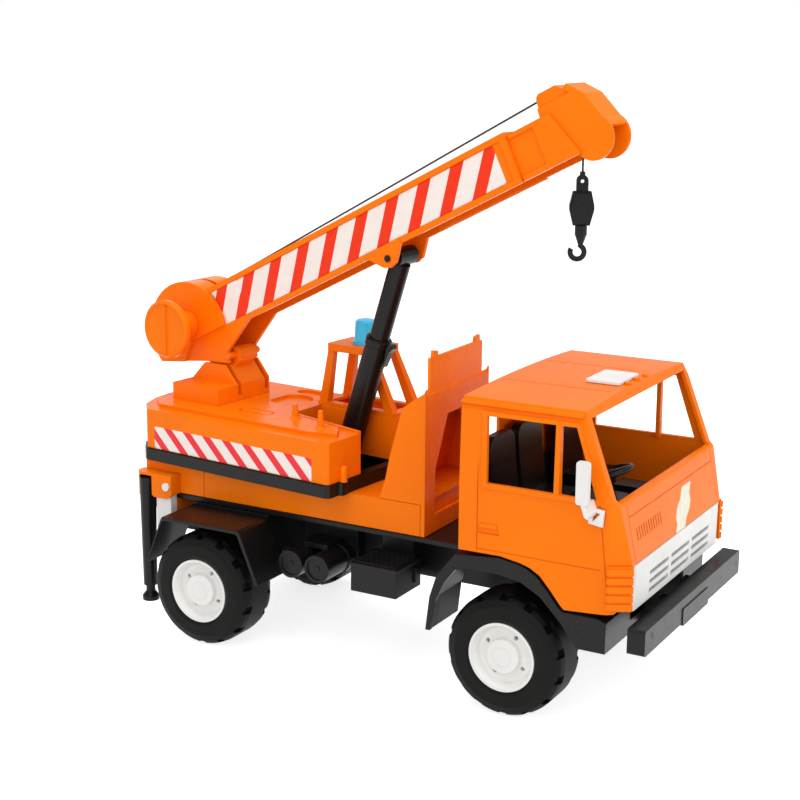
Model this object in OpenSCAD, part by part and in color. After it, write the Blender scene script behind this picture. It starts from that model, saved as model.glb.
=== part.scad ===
// Toy crane truck: cab, open chassis, slewing crane with telescopic boom, cord and hook, folding outriggers.
// Millimetres. +X forward, +Y left, +Z up, wheels stand on Z = 0.

/* [Placement] */
// Front axle position along X
front_axle_x = 139; // [100:1:160]
// Truck's middle plane along Y, with the mirror standing out on one side
middle_y = 6.45; // [0:0.05:12]
// Crane heading at rest, turned to the right of straight ahead (degrees)
swing_at_rest = -6.1; // [-20:0.1:20]
// Boom elevation at rest (degrees)
boom_angle = 26.3; // [10:0.1:50]

/* [Wheels] */
// Distance between the axles
wheelbase = 264; // [220:1:310]
// Tyre radius
tyre_r = 45; // [38:0.5:54]
// Tyre width
tyre_w = 42; // [30:1:50]
// Outer face of the tyres from the middle plane
track_half = 99; // [92:1:112]
// Radius of the rim edge
rim_r = 25.5; // [20:0.5:30]
// Axle rod radius
axle_r = 4; // [3:0.1:6]
// Tread lugs around each shoulder
lug_count = 14; // [8:1:24]

/* [Cab] */
// Half width of the cab at the doors
cab_half_w = 97.5; // [90:0.5:110]
// Roof height
cab_top_z = 232; // [215:1:250]
// Cab shell wall
cab_wall = 2.6; // [1.8:0.1:4]
// Door window depth of the raised frame
frame_proud = 0.9; // [0.4:0.1:2]

/* [Bed] */
// Half width of the bed
bed_half_w = 52; // [45:0.5:65]
// Bed underside height
bed_z0 = 106; // [100:0.5:112]
// Bed top height
bed_z1 = 130.5; // [122:0.5:138]
// Bulkhead wall
bulkhead_wall = 2.6; // [1.8:0.1:4]

/* [Superstructure] */
// Slewing axis from the front axle
turn_back = 255; // [235:1:275]
// Half width of the housing
house_half_w = 65; // [55:0.5:75]
// Housing top
house_z1 = 176.9; // [165:0.5:190]
// Housing wall
house_wall = 2.6; // [1.8:0.1:4]
// Height of the raised deck step
deck_step = 3; // [1:0.5:6]

/* [Boom] */
// Boom pivot height
pivot_z = 212.5; // [205:0.5:220]
// Sideways offset of the boom
boom_v = 12; // [8:0.5:16]
// Half width of the outer section
boom_hw = 18.3; // [15:0.1:22]
// Outer section length ahead of the pivot
outer_len = 320.8; // [260:1:380]
// Depth of the boom section
boom_depth = 38.3; // [32:0.1:46]
// Boom wall
boom_wall = 2.4; // [1.8:0.1:3.5]
// Boom pivot pin radius
boom_pin_r = 3; // [2:0.1:4]
// Winch housing radius
drum_r = 41.8; // [36:0.2:48]
// Winch knob radius
knob_r = 24; // [18:0.5:28]
// Winch axle radius
winch_axle_r = 5; // [3:0.1:8]

/* [Strut] */
// Lower tube radius
strut_r1 = 9.8; // [7:0.1:12]
// Upper tube radius
strut_r2 = 8.1; // [5:0.1:10]
// Lower pivot height
strut_z = 149; // [146:0.5:156]
// Strut pin radius
strut_pin_r = 2.6; // [2:0.1:4]
// Play of the open upper pivot, on the radius
open_play = 2.4; // [1.5:0.1:3]

/* [Hook and cord] */
// Cord diameter
cord_d = 1.6; // [1:0.1:3]
// Hook block height
block_h = 24; // [20:0.5:30]

/* [Outriggers] */
// Jack tube radius
jack_r = 6.3; // [4:0.1:9]
// Arm width
arm_w = 12.6; // [8:0.1:18]

/* [Clearances] */
// Running clearance of shafts, on the radius
run_c = 0.08; // [0.02:0.01:0.1]
// Gap between separate parts that face each other
gap_c = 0.35; // [0.2:0.05:0.8]

/* [Hidden] */
$fn = 48;
E = 0.02;
rear_x = -wheelbase;
turn_x = -turn_back;
wheel_in = track_half - tyre_w;
orange = [1, 0.4, 0.03];
black = [0.06, 0.06, 0.065];
white = [0.92, 0.92, 0.9];
blue = [0.1, 0.6, 0.95];
pivot_u = -301;
bt = 57.9;
bb = bt - boom_depth;
ear_s = 188.9;
ear_t = 13.5;
drum_s = -31;
drum_t = 33.2;
win_s = -27.9;
win_t = 38.3;
inner_end = 345.4;
lobe_s = 382.6;
lobe_t = 26.8;
head_hw = 13;
roller_s = 366.9;
roller_t = 43.1;
hook_s = 363.6;
hook_u = pivot_u + hook_s * cos(boom_angle) - 20 * sin(boom_angle);
cord_z0 = pivot_z + hook_s * sin(boom_angle) + 20 * cos(boom_angle);
ear_u = pivot_u + ear_s * cos(boom_angle) - ear_t * sin(boom_angle);
ear_z = pivot_z + ear_s * sin(boom_angle) + ear_t * cos(boom_angle);
strut_u = ear_u - (ear_z - strut_z) * 0.3243;
strut_len = sqrt(pow(ear_z - strut_z, 2) + pow(ear_u - strut_u, 2));
strut_tilt = atan2(ear_u - strut_u, ear_z - strut_z);
well_v0 = -9;
well_v1 = 23.5;

// ---------- helpers ----------

module truck() {
  translate([front_axle_x, middle_y, 0]) children();
}

module super() {
  truck()
    translate([turn_x, 0, 0])
      rotate([0, 0, swing_at_rest])
        translate([-turn_x, 0, 0]) children();
}

module boom_frame() {
  super()
    translate([pivot_u, boom_v, pivot_z])
      rotate([0, -boom_angle, 0]) children();
}

module strut_frame() {
  super()
    translate([strut_u, boom_v, strut_z])
      rotate([0, strut_tilt, 0]) children();
}

module hook_frame() {
  super()
    translate([hook_u, boom_v, cord_z0]) children();
}

// box between two corners
module bx(a, b) {
  translate(a) cube([b[0] - a[0], b[1] - a[1], b[2] - a[2]]);
}

// rounded rectangle between two corners
module rr(x0, y0, x1, y1, r) {
  translate([x0 + r, y0]) square([x1 - x0 - 2 * r, y1 - y0]);
  translate([x0, y0 + r]) square([x1 - x0, y1 - y0 - 2 * r]);
  for (x = [x0 + r, x1 - r])
    for (y = [y0 + r, y1 - r])
      translate([x, y]) circle(r);
}

// profile drawn in X and Z, standing between two Y planes
module slab(y0, y1) {
  translate([0, y1, 0]) rotate([90, 0, 0]) linear_extrude(y1 - y0) children();
}

// profile drawn in Y and Z, standing between two X planes
module cross_x(x0, x1) {
  translate([x0, 0, 0]) rotate([90, 0, 90]) linear_extrude(x1 - x0) children();
}

// cylinder along Y
module cyl_y(x, y0, y1, z, r, fn = 48) {
  translate([x, y0, z]) rotate([-90, 0, 0]) cylinder(r = r, h = y1 - y0, $fn = fn);
}

// cylinder along X
module cyl_x(x0, x1, y, z, r, fn = 48) {
  translate([x0, y, z]) rotate([0, 90, 0]) cylinder(r = r, h = x1 - x0, $fn = fn);
}

module both() {
  children();
  mirror([0, 1, 0]) children();
}

// ---------- chassis ----------

rail_y = 23;
rail_z0 = 66;

module chassis_frame() {
  color(black) truck() difference() {
    union() {
      both() bx([-345, rail_y - 3, rail_z0], [62, rail_y + 3, 102 + E]);
      for (x = [-343, -205, -150, -60, 40])
        bx([x, -rail_y, rail_z0 + 4], [x + 5, rail_y, 98]);
      bx([-349, -rail_y - 3, 102], [-317, rail_y + 3, bed_z0 - gap_c]);
      bx([-317.6, -53.2, 102], [-37, 53.2, bed_z0 - gap_c]);
      bx([-37 - E, -40, 102], [60, 40, bed_z0 - gap_c]);
      for (x = [rear_x, 0])
        both() bx([x - 11, rail_y - 3, tyre_r - 8], [x + 11, rail_y + 3, rail_z0 + 2]);
      both() bx([60, rail_y - 3, 64], [88, rail_y + 3, 88 - E]);
    }
    for (x = [rear_x, 0])
      cyl_y(x, -60, 60, tyre_r, axle_r + run_c);
  }
}

module bumper() {
  color(black) truck() {
    cross_x(94, 106.8) rr(-100, 68, 100, 86.4, 2.2);
    cross_x(104, 107.5) rr(-27, 66, 27, 79, 1.5);
    both() bx([88 + gap_c, 17, 70], [95, 30, 84]);
  }
}

module axle(x) {
  color([0.6, 0.6, 0.62]) truck() cyl_y(x, -track_half + 10, track_half - 10, tyre_r, axle_r);
}

// tyre standing on the right, outer face towards -Y
module tyre_shape(x) {
  difference() {
    translate([x, -track_half, tyre_r]) rotate([-90, 0, 0]) rotate_extrude($fn = 96) polygon([
      [rim_r + 0.6, 0.8], [rim_r + 3, 0], [tyre_r - 8, 0.5], [tyre_r - 3, 2.6], [tyre_r - 0.8, 5.5],
      [tyre_r, 10], [tyre_r, tyre_w - 10], [tyre_r - 0.8, tyre_w - 5.5], [tyre_r - 3, tyre_w - 2.6],
      [tyre_r - 8, tyre_w - 0.5], [rim_r + 3, tyre_w], [rim_r + 0.6, tyre_w - 0.8]
    ]);
    for (i = [0 : lug_count - 1])
      for (side = [0, 1])
        translate([x, 0, tyre_r])
          rotate([0, (i + side / 2) * 360 / lug_count, 0])
            bx([-3.2, side ? -wheel_in - 11 : -track_half - 1, tyre_r - 3.2],
               [3.2, side ? -wheel_in + 1 : -track_half + 11, tyre_r + 2]);
  }
}

module rim_shape(x) {
  difference() {
    translate([x, -track_half, tyre_r]) rotate([-90, 0, 0]) rotate_extrude($fn = 96) polygon([
      [axle_r + run_c, 2.2], [12, 2.2], [12.5, 2.8], [12.7, 7], [17, 8.4], [20.5, 7.6], [22.6, 3.4], [23.4, 0.7],
      [rim_r, 0.7], [rim_r, 2], [rim_r - 0.4, 3], [rim_r - 0.4, tyre_w - 3], [22, tyre_w - 3], [21.4, 12],
      [8.2, 12], [8.2, tyre_w + 1.5], [axle_r + run_c, tyre_w + 1.5]
    ]);
    for (a = [0 : 90 : 270])
      translate([x, 0, tyre_r])
        rotate([0, a + 30, 0])
          cyl_y(0, -track_half + 2, -track_half + 16, 15.9, 1.6, 24);
  }
  translate([x, -track_half, tyre_r]) rotate([-90, 0, 0]) translate([0, 0, 2]) cylinder(r = axle_r + 3, h = 2);
}

module tyre(x, left) {
  color(black) truck() mirror([0, left, 0]) tyre_shape(x);
}

module rim(x, left) {
  color(white) truck() mirror([0, left, 0]) difference() {
    rim_shape(x);
    cyl_y(x, -track_half + 9.5, -60, tyre_r, axle_r + run_c);
  }
}

// arch points from the leg tip behind the wheel to the front
arch_out = [[-60.5, 54.4], [-57.5, 80], [-52, 97], [-37.3, 115.6], [-3, 118.6], [12, 116.2], [19, 114], [26.5, 109.5],
  [34.6, 100.6], [42, 91.2], [46.3, 88.2], [72, 88.2], [78, 86], [78, 64], [57, 64]];
arch_in = [[45, 80], [29, 96], [14, 104], [-1.7, 106.5], [-24, 106.8], [-37, 104], [-46, 92.5], [-53, 77], [-57, 54.4]];
arch_skin = [[57, 62.5], [43, 83], [30, 99.5], [15, 109.5], [-1.7, 113], [-24, 113], [-36.5, 110], [-48.5, 95.5], [-54.7, 79], [-57.6, 54.4]];

module front_arches() {
  color(black) truck() both() {
    slab(track_half - 3.5, track_half) polygon(concat(arch_out, arch_in));
    slab(53.2 + gap_c, track_half - 3) polygon(concat(arch_out, arch_skin));
    slab(26 + gap_c, 54.5) polygon([[56, 64], [78, 64], [78, 74], [56, 74]]);
  }
}

module rear_arches() {
  color(black) truck() both() difference() {
    slab(53.2 + gap_c, track_half - 2) polygon([
      [-315.6, 60], [-300.4, 98], [-299, 100], [-228, 100], [-225, 98.6], [-208, 59],
      [-210.6, 58.4], [-227, 96.2], [-229, 97.4], [-298, 97.4], [-299.4, 96.2], [-314.5, 60]
    ]);
  }
  color(black) truck() both() bx([-300, 26 + gap_c, 97.4], [-227, 54, 101.6]);
}

module air_tanks() {
  color(black) truck() both() {
    for (x = [-167, -191])
      difference() {
        cyl_y(x, 34, 78, 74.3, 10.9);
        cyl_y(x, 76.6, 79, 74.3, 8.6);
        cyl_y(x, 76.8, 79, 74.3, 1.4, 24);
      }
    for (x = [-167, -191])
      cyl_y(x, 74, 77.4, 74.3, 2.4, 24);
    bx([-203, 26 + gap_c, 68], [-155, 36, 101.6]);
    bx([-190, 34, 84], [-168, 60, 88]);
    for (x = [-167, -191])
      difference() {
        cyl_y(x, 44, 48, 74.3, 11.9);
        cyl_y(x, 43, 49, 74.3, 10.5);
      }
  }
}

module battery_boxes() {
  color(black) truck() both() {
    bx([-136, 40, 63.5], [-97, 78, 84.5]);
    bx([-137, 39, 84], [-96, 79, 86]);
    for (i = [0 : 8])
      bx([-134, 42.5 + i * 4, 85.5], [-99, 44 + i * 4, 87.2]);
    bx([-130, 26 + gap_c, 72], [-103, 41, 101.6]);
    bx([-97.4, 45, 68], [-95.8, 50, 80]);
  }
}

// ---------- cab ----------

cab_rear = -35.5;
// outer side outline, lower edge first
cab_side = [[cab_rear, 119.3], [-3, 119.6], [12.4, 117.2], [20, 115], [27.8, 110.5], [35.6, 101.8], [43.3, 92.4],
  [46.4, 89.4], [72.9, 91.3], [82, 92.4], [92.4, 126.3], [83.6, 167.4], [79, 171.2], [57.2, 229], [55, cab_top_z + 4], [cab_rear, cab_top_z + 4]];
cab_side_in = [[cab_rear + cab_wall, 80], [79, 80], [89.6, 126], [81, 165.8], [76.4, 170], [54, 228.4],
  [52, cab_top_z], [cab_rear + cab_wall, cab_top_z]];

function crown(y, top) = top - 2.4 * pow(y / 95, 2);

module cab_front_outline(inset) {
  hw = cab_half_w - inset;
  rw = cab_half_w - 2.2 - inset;
  top = cab_top_z - inset;
  polygon(concat(
    [[-hw, 60], [hw, 60], [hw, 168], [rw + 0.5, 221]],
    [for (i = [12 : -1 : -12]) let (y = i / 12 * (rw - 3)) [y, crown(y, top)]],
    [[-rw - 0.5, 221], [-hw, 168]]
  ));
}

module cab_plan_outline(inset) {
  hw = cab_half_w - inset;
  polygon([[-60, -hw], [78, -hw], [93 - inset, -hw + 8], [93 - inset, hw - 8], [78, hw], [-60, hw]]);
}

module cab_solid() {
  intersection() {
    slab(-120, 120) polygon(cab_side);
    cross_x(-60, 120) cab_front_outline(0);
    linear_extrude(260) cab_plan_outline(0);
  }
}

module cab_hollow() {
  intersection() {
    slab(-120, 120) polygon(cab_side_in);
    cross_x(-60, 120) cab_front_outline(cab_wall);
    linear_extrude(260) cab_plan_outline(cab_wall);
  }
}

win_pts = [[-15, 218.5], [-14.2, 170.8], [68, 170.8], [51.6, 218.9]];
win_rim = [[-19, 222.6], [-18.2, 167], [73.4, 167], [53.6, 222.6]];

module cab_shell() {
  color(orange) truck() difference() {
    union() {
      difference() {
        cab_solid();
        cab_hollow();
      }
      both() intersection() {
        slab(90, cab_half_w + frame_proud) polygon(win_rim);
        cross_x(-60, 120) polygon([[85, 150], [cab_half_w + frame_proud, 150], [cab_half_w + frame_proud, 168],
          [cab_half_w - 1.7 + frame_proud, 222], [85, 222]]);
        difference() {
          bx([-60, 85, 60], [120, 120, 240]);
          cross_x(-61, 121) cab_front_outline(cab_wall);
        }
      }
      // drip rails and roof seam
      both() bx([cab_rear, 91.6, 225.6], [55.6, 96.8, 227.8]);
      // handle
      both() bx([-18.5, 97, 138.6], [-5.5, 98.6, 141.6]);
      // inner post beside the quarter light
      both() bx([37, 92.6, 168], [40.6, 95.8, 222]);
    }
    both() slab(80, 120) polygon([[-15, 218.5], [-14.2, 170.8], [36.5, 170.8], [36.5, 218.8]]);
    both() slab(80, 120) polygon([[40.3, 218.8], [40.3, 170.8], [68, 170.8], [51.6, 218.9]]);
    // windscreen
    translate([50, 0, 0]) cross_x(0, 60) polygon([[-90.5, 168.6], [90.5, 168.6], [89, 224.6], [-89, 224.6]]);
    // rear windows
    both() cross_x(cab_rear - 2, cab_rear + 5) rr(40, 190, 78, 208, 3);
    // door lines
    both() bx([-21.4, cab_half_w - 0.7, 121], [-20.6, cab_half_w + 3, 221]);
    both() slab(cab_half_w - 0.7, cab_half_w + 3) polygon([[70, 168], [70.8, 168], [79.4, 95], [78.6, 95]]);
    both() bx([-21, cab_half_w - 0.5, 122.2], [72, cab_half_w + 0.5, 122.9]);
    both() bx([-21.5, cab_half_w - 1.4, 134], [-4, cab_half_w + 0.5, 138.4]);
    // louvre slots, right front
    for (i = [0 : 10])
      bx([80, -74.5 + i * 4.4, 140], [100, -72.9 + i * 4.4, 148.6]);
    // fine lines round the front panel
    slab(-84, 84) polygon([[85.05, 157.9], [92, 157.9], [92, 158.6], [84.9, 158.6]]);
    both() slab(83.6, 84.2) polygon([[92.4, 127.5], [83.8, 166.8], [83.2, 166.8], [91.8, 127.5]]);
    // roof seam
    both() bx([cab_rear + 3, 37.2, cab_top_z - 1.7], [51, 38.3, cab_top_z + 5]);
    // seat for the grille
    cross_x(78, 96) polygon([[-91, 86], [91, 86], [86, 126.6], [-86, 126.6]]);
    // air way behind the grille
    cross_x(60, 80) polygon([[-78, 90], [78, 90], [78, 121.5], [-78, 121.5]]);
  }
}

module roof_hatch() {
  color(white) truck() translate([0, 0, cab_top_z + gap_c]) linear_extrude(1.8) rr(23.5, -19.5, 50, 19.5, 3);
}

module roof_lamps() {
  color(orange) truck() for (y = [-10, 6.5, 23])
    translate([53, y, crown(y, cab_top_z) + 0.05]) {
      cylinder(r = 2.5, h = 1.3, $fn = 32);
      translate([0, 0, 1.2]) cylinder(r1 = 2.5, r2 = 1.7, h = 0.7, $fn = 32);
    }
}

module grille() {
  color(white) truck() difference() {
    intersection() {
      slab(-90, 90) polygon([[80.4, 93.6], [92.3, 93.6], [92.9, 126.2], [84.6, 126.2]]);
      cross_x(70, 100) polygon([[-90.5, 90], [90.5, 90], [85.7, 126.3], [-85.7, 126.3]]);
      linear_extrude(160) polygon([[70, -90.5], [88, -90.5], [93, -84], [93, 84], [88, 90.5], [70, 90.5]]);
    }
    for (y = [-57.5, -15, 27.5])
      for (z = [98, 104.5, 111])
        cross_x(88, 96) rr(y, z, y + 37.5, z + 3, 1);
    slab(-79, 79) polygon([[78, 90], [89.4, 90], [89.4, 122], [84, 122], [78, 94]]);
  }
}

module corner_deflectors() {
  color(orange) truck() both() for (i = [0 : 4])
    translate([0, 0, 96 + i * 6.2]) linear_extrude(4.6)
      polygon([[77.5, 97.6 + gap_c], [77.5, 100], [79.5, 100.6], [94.2, 92.4], [93.4, 91.2], [92.2, 90.4], [79, 97.6 + gap_c]]);
  color(orange) truck() both() translate([0, 0, 95]) linear_extrude(32)
    polygon([[78, 97.6 + gap_c], [78, 99], [79.4, 99.3], [93, 91.6], [92.2, 90.5], [79, 97.6 + gap_c]]);
}

module mirror_right() {
  color(white) truck() {
    slab(-113.5, -110.6) rr(59, 171, 68.5, 201, 2.2);
    slab(-113, -98.5) polygon([[62.4, 171.6], [66.2, 171.6], [69.3, 164.5], [67.8, 161.5], [65.4, 163]]);
    // framed bracket on the door
    difference() {
      slab(-100.4, -98.55) polygon([[63.4, 166.8], [74.6, 165.4], [73.6, 153.8], [63.4, 155.2]]);
      slab(-102, -97) polygon([[66.4, 163.8], [71.8, 163], [66.4, 157]]);
    }
  }
}

module cab_tub() {
  color(black) truck() {
    bx([-30, -92, 124], [76, 92, 127]);
    slab(-90, 90) polygon([[60, 126], [78, 126], [76, 148], [64, 152], [60, 140]]);
    bx([-30, -92, 126], [-27, 92, 160]);
    bx([-29, 76, 126], [-25, 92, 222]);
    // dark panel seen through the grille
    bx([64, -77, 91], [66, 77, 125]);
    both() bx([65, 70, 100], [86, 73, 103]);
    bx([85.6, -77, 96.5], [86.8, 77, 117]);
  }
}

// seat with a rounded back leaning to the rear
module seat(y0, y1, x) {
  w = y1 - y0;
  bx([x, y0, 127 + gap_c], [x + 34, y1, 146]);
  slab(y0 + 1, y1 - 1) polygon([[x - 4, 140], [x + 7, 144], [x + 3, 178], [x - 4.4, 178]]);
  intersection() {
    slab(y0 + 1, y1 - 1) polygon([[x - 4.4, 177], [x + 3.2, 177], [x + 1, 202], [x - 5, 202]]);
    cross_x(x - 8, x + 8) translate([(y0 + y1) / 2, 172]) rr(-w / 2 + 1, 0, w / 2 - 1, 26, 9);
  }
}

module seats() {
  color(black) truck() {
    seat(-84, -42, -21);
    seat(-38, 4, -21);
    seat(34, 75, -21);
  }
}

module centre_box() {
  color(black) truck() {
    translate([0, 0, 127 + gap_c]) linear_extrude(18) rr(20, -18, 50, 12, 5);
    bx([30, 26, 127 + gap_c], [54, 46, 146]);
  }
}

module steering_wheel() {
  color(black) truck() translate([49, -37, 172]) rotate([0, -20, 0]) {
    rotate_extrude($fn = 64) translate([19, 0]) circle(1.9, $fn = 24);
    cylinder(r = 6, h = 3, center = true);
    for (a = [0 : 120 : 240])
      rotate([0, 0, a + 30]) bx([4, -1.8, -1.2], [19, 1.8, 1.2]);
    translate([0, 0, -20]) cylinder(r = 3, h = 20);
  }
}

// ---------- bed and bulkhead ----------

module bed_body() {
  color(orange) truck() difference() {
    union() {
      bx([-349, -bed_half_w, bed_z0], [-91 - gap_c, bed_half_w, bed_z1]);
      both() bx([-349, 26 + gap_c, 90], [-318, bed_half_w, bed_z0 + E]);
    }
    bx([-346.4, -bed_half_w + 2.6, bed_z0 - 20], [-321, bed_half_w - 2.6, bed_z1 - 2.6]);
    bx([-318, -bed_half_w + 2.6, bed_z0 - 2], [-94, bed_half_w - 2.6, bed_z1 - 2.6]);
    both() bx([-291, bed_half_w - 0.6, bed_z0 - 1], [-290.2, bed_half_w + 1, bed_z1 + 1]);
    translate([turn_x, 0, bed_z1 - 10]) cylinder(r = 12 + run_c, h = 12);
  }
  color(orange) truck() difference() {
    translate([turn_x, 0, bed_z0]) cylinder(r = 16, h = bed_z1 - bed_z0 - E);
    translate([turn_x, 0, bed_z0 - 1]) cylinder(r = 12 + run_c, h = 30);
  }
}

module bulkhead_side() {
  polygon([[-126.9, bed_z1 + gap_c], [-121.8, 145.7], [-117.6, 165.8], [-107.5, 202.5], [-102.5, 206.9],
    [-89.1, 216.1], [-87.6, 219], [-87.6, bed_z0], [-91, bed_z0], [-91, bed_z1 + gap_c]]);
}

module bulkhead() {
  w = bulkhead_wall;
  color(orange) truck() {
    both() slab(bed_half_w - w, bed_half_w) bulkhead_side();
    // front board with its deep opening
    difference() {
      union() {
        bx([-90.2, -bed_half_w + 0.6, bed_z0], [-87.6, bed_half_w - 0.6, 214]);
        cross_x(-91.6, -89) polygon([[-42, 200], [-42, 240.7], [-38, 241], [-37.4, 246], [-31, 245], [-30, 241],
          [30, 241], [31, 245], [37.4, 246], [38, 241], [42, 240.7], [42, 200]]);
      }
      cross_x(-95, -85) polygon([[-36, 120], [-36, 155], [-16.6, 194.5], [16.6, 194.5], [36, 155], [36, 120]]);
    }
    // sloping back wall
    slab(-bed_half_w + 1, bed_half_w - 1) polygon([[-126.9, bed_z1 + gap_c], [-121.8, 145.7], [-117.6, 165.8],
      [-107.5, 202.5], [-102.5, 206.9], [-89.1, 216.1], [-88.4, 213.4], [-100.6, 205], [-105.1, 201.4],
      [-115.1, 165.2], [-119.3, 145.3], [-123.6, bed_z1 + gap_c]]);
    both() slab(32, 34.6) polygon([[-90, 214], [-100.6, 205.2], [-105.1, 201.4], [-108, 190], [-90, 170]]);
    bx([-122.6, -bed_half_w + 1, bed_z1 + gap_c], [-90, bed_half_w - 1, bed_z1 + 2.6]);
  }
}

// ---------- outriggers ----------

jack_y = 59.7;
jack_x = -342;
pin_x = -319;
pin_z = 113.5;
hood_y = 64.5;

module outrigger_hoods() {
  in_y = bed_half_w + gap_c;
  color(orange) truck() both() {
    translate([0, 0, 120.4]) linear_extrude(2.2)
      polygon([[-351, in_y], [-351, 60], [-348.6, 63.2], [-346, hood_y], [-314.5, hood_y], [-314.5, in_y]]);
    difference() {
      slab(hood_y - 2.2, hood_y) polygon([[-332.8, 103], [-332.8, 121], [-314.5, 121], [-314.5, 108], [-316, 104.6], [-319, 103]]);
      cyl_y(pin_x, 40, 80, pin_z, 2.5 + run_c);
    }
    bx([-316.4, in_y, 106], [-314.5, hood_y, 121]);
    bx([-334.4, in_y, 104], [-332.7, hood_y, 121]);
    bx([-351, in_y, 101], [-349.4, 60, 120.4 + E]);
  }
}

module arm_part(left) {
  color(white) truck() mirror([0, 1 - left, 0]) difference() {
    union() {
      bx([-331.6, 54, 58], [-317, 61.9, 118]);
      bx([-332.4, 53.2, 56], [-316.4, 62.6, 61]);
    }
    bx([-329.2, 56.4, 54], [-319.4, 59.6, 100]);
    cyl_y(pin_x, 50, 64, pin_z, 2.5 + run_c);
  }
}

module arm_pins() {
  color(white) truck() both() {
    cyl_y(pin_x, 53.4, 65.6, pin_z, 2.5);
    cyl_y(pin_x, hood_y + gap_c, 66.6, pin_z, 3.4);
  }
}

module jack_part(left) {
  color(black) truck() mirror([0, 1 - left, 0]) {
    difference() {
      translate([jack_x, jack_y, 25]) cylinder(r1 = jack_r - 0.6, r2 = jack_r + 0.6, h = 93);
      translate([jack_x, jack_y, 112]) cylinder(r = jack_r - 1, h = 10);
    }
    translate([jack_x, jack_y, 14]) cylinder(r = 3.8, h = 12);
    translate([jack_x, jack_y, 15.5]) cylinder(r1 = 6.9, r2 = 3.9, h = 4);
    translate([jack_x, jack_y, 12]) cylinder(r = 6.9, h = 3.6);
  }
}

// ---------- superstructure ----------

module house_plan(grow) {
  w = house_half_w + grow;
  polygon([[-339.5 - grow, -w + 2], [-337.5, -w], [-152.3, -w], [-150.3 + grow, -w + 2], [-150.3 + grow, w - 2],
    [-152.3, w], [-337.5, w], [-339.5 - grow, w - 2], [-351 - grow, 52], [-359.5 - grow, 32], [-362.5 - grow, 12],
    [-362.5 - grow, -12], [-359.5 - grow, -32], [-351 - grow, -52]]);
}

module well_plan() {
  polygon([[-226, well_v0], [-140, -25.8], [-140, well_v1], [-226, well_v1]]);
}

module skirt() {
  color(black) super() difference() {
    union() {
      translate([0, 0, bed_z1 + 1]) linear_extrude(141.2 - bed_z1 - 1) {
        house_plan(1.6);
        translate([-153, -54]) rr(-2, 0, 7.6, 10.4, 3.4);
      }
      translate([turn_x, 0, bed_z1 - 9.4]) cylinder(r = 12, h = 12);
    }
    translate([0, 0, 134]) linear_extrude(10) difference() {
      house_plan(-6);
      translate([turn_x, 0]) circle(24);
    }
  }
}

module peg(u, v, z, h) {
  translate([u, v, z - E]) cylinder(r1 = 2.9, r2 = 1.9, h = h, $fn = 32);
  translate([u, v, z - E]) cylinder(r1 = 5, r2 = 3.4, h = 1.6, $fn = 32);
}

module housing() {
  w = house_wall;
  z0 = 141.2 + gap_c;
  color(orange) super() difference() {
    union() {
      difference() {
        union() {
          translate([0, 0, z0]) linear_extrude(house_z1 - z0 - deck_step) house_plan(0);
          translate([0, 0, z0]) linear_extrude(house_z1 - z0) polygon([[-346, -44], [-333, -55], [-180, -53], [-156, -46],
            [-168, -28], [-226, -16], [-226, 24], [-150.3, 24], [-150.3, 63], [-333, 63], [-346, 44]]);
        }
        translate([0, 0, z0 - 1]) linear_extrude(house_z1 - z0 - deck_step - w + 1) house_plan(-w);
      }
      // well walls and operator cab walls
      translate([0, 0, z0]) linear_extrude(house_z1 - z0 - 1) {
        difference() {
          polygon([[-228.6, well_v0 - 2.6], [-150.3, -26.4], [-150.3, well_v1 + 2.6], [-228.6, well_v1 + 2.6]]);
          well_plan();
        }
        difference() {
          polygon([[-231, well_v1], [-150.3, well_v1], [-150.3, 64], [-231, 64]]);
          polygon([[-228, well_v1 + 2.6], [-153, well_v1 + 2.6], [-153, 61.4], [-228, 61.4]]);
        }
      }
      translate([0, 0, z0 + 12]) linear_extrude(2.6) polygon([[-230, well_v1], [-151, well_v1], [-151, 63], [-230, 63]]);
      // strut bearings
      cyl_y(strut_u, well_v0 - 8, well_v0 + 8.4, strut_z, 6.2);
      peg(-213, -26, house_z1, 11.5);
      peg(-177.5, -39, house_z1, 14);
      translate([-147.5, -49, 141.2 + gap_c]) cylinder(r = 2.9, h = 10, $fn = 32);
      translate([-147.5, -49, 141.2 + gap_c + 10]) sphere(2.9, $fn = 24);
      bx([-152, -51, 142], [-148, -47, 149]);
    }
    translate([0, 0, z0 - 2]) linear_extrude(60) polygon([[-226, well_v0], [-140, -25.8], [-140, well_v1], [-226, well_v1]]);
    translate([0, 0, z0 + 14.6]) linear_extrude(60) polygon([[-228, well_v1 + 2.6], [-153, well_v1 + 2.6], [-153, 61.4], [-228, 61.4]]);
    // strut pin bore
    cyl_y(strut_u, -34, well_v1 + 3, strut_z, strut_pin_r);
    // far wall holes of the operator cab
    for (u = [-186, -168])
      slab(60, 70) translate([u, 166]) rr(-3, -5, 3, 5, 2.9);
    // oval ring and half oval pocket in the deck
    translate([0, 0, house_z1 - 0.9]) linear_extrude(4) difference() {
      rr(-269, -33, -236, -21, 5.9);
      rr(-267.4, -31.4, -237.6, -22.6, 4.3);
    }
    translate([0, 0, house_z1 - 2.4]) linear_extrude(6) difference() {
      translate([-256, 22]) circle(18);
      translate([-290, -10]) square([20, 60]);
    }
    translate([0, 0, house_z1 - 2.4]) linear_extrude(6) rr(-272, 44, -238, 58, 6.9);
    // notch in the front wall
    bx([-152, 31, 143], [-149, 35, 152]);
  }
}

post_z = 228.5;

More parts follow.
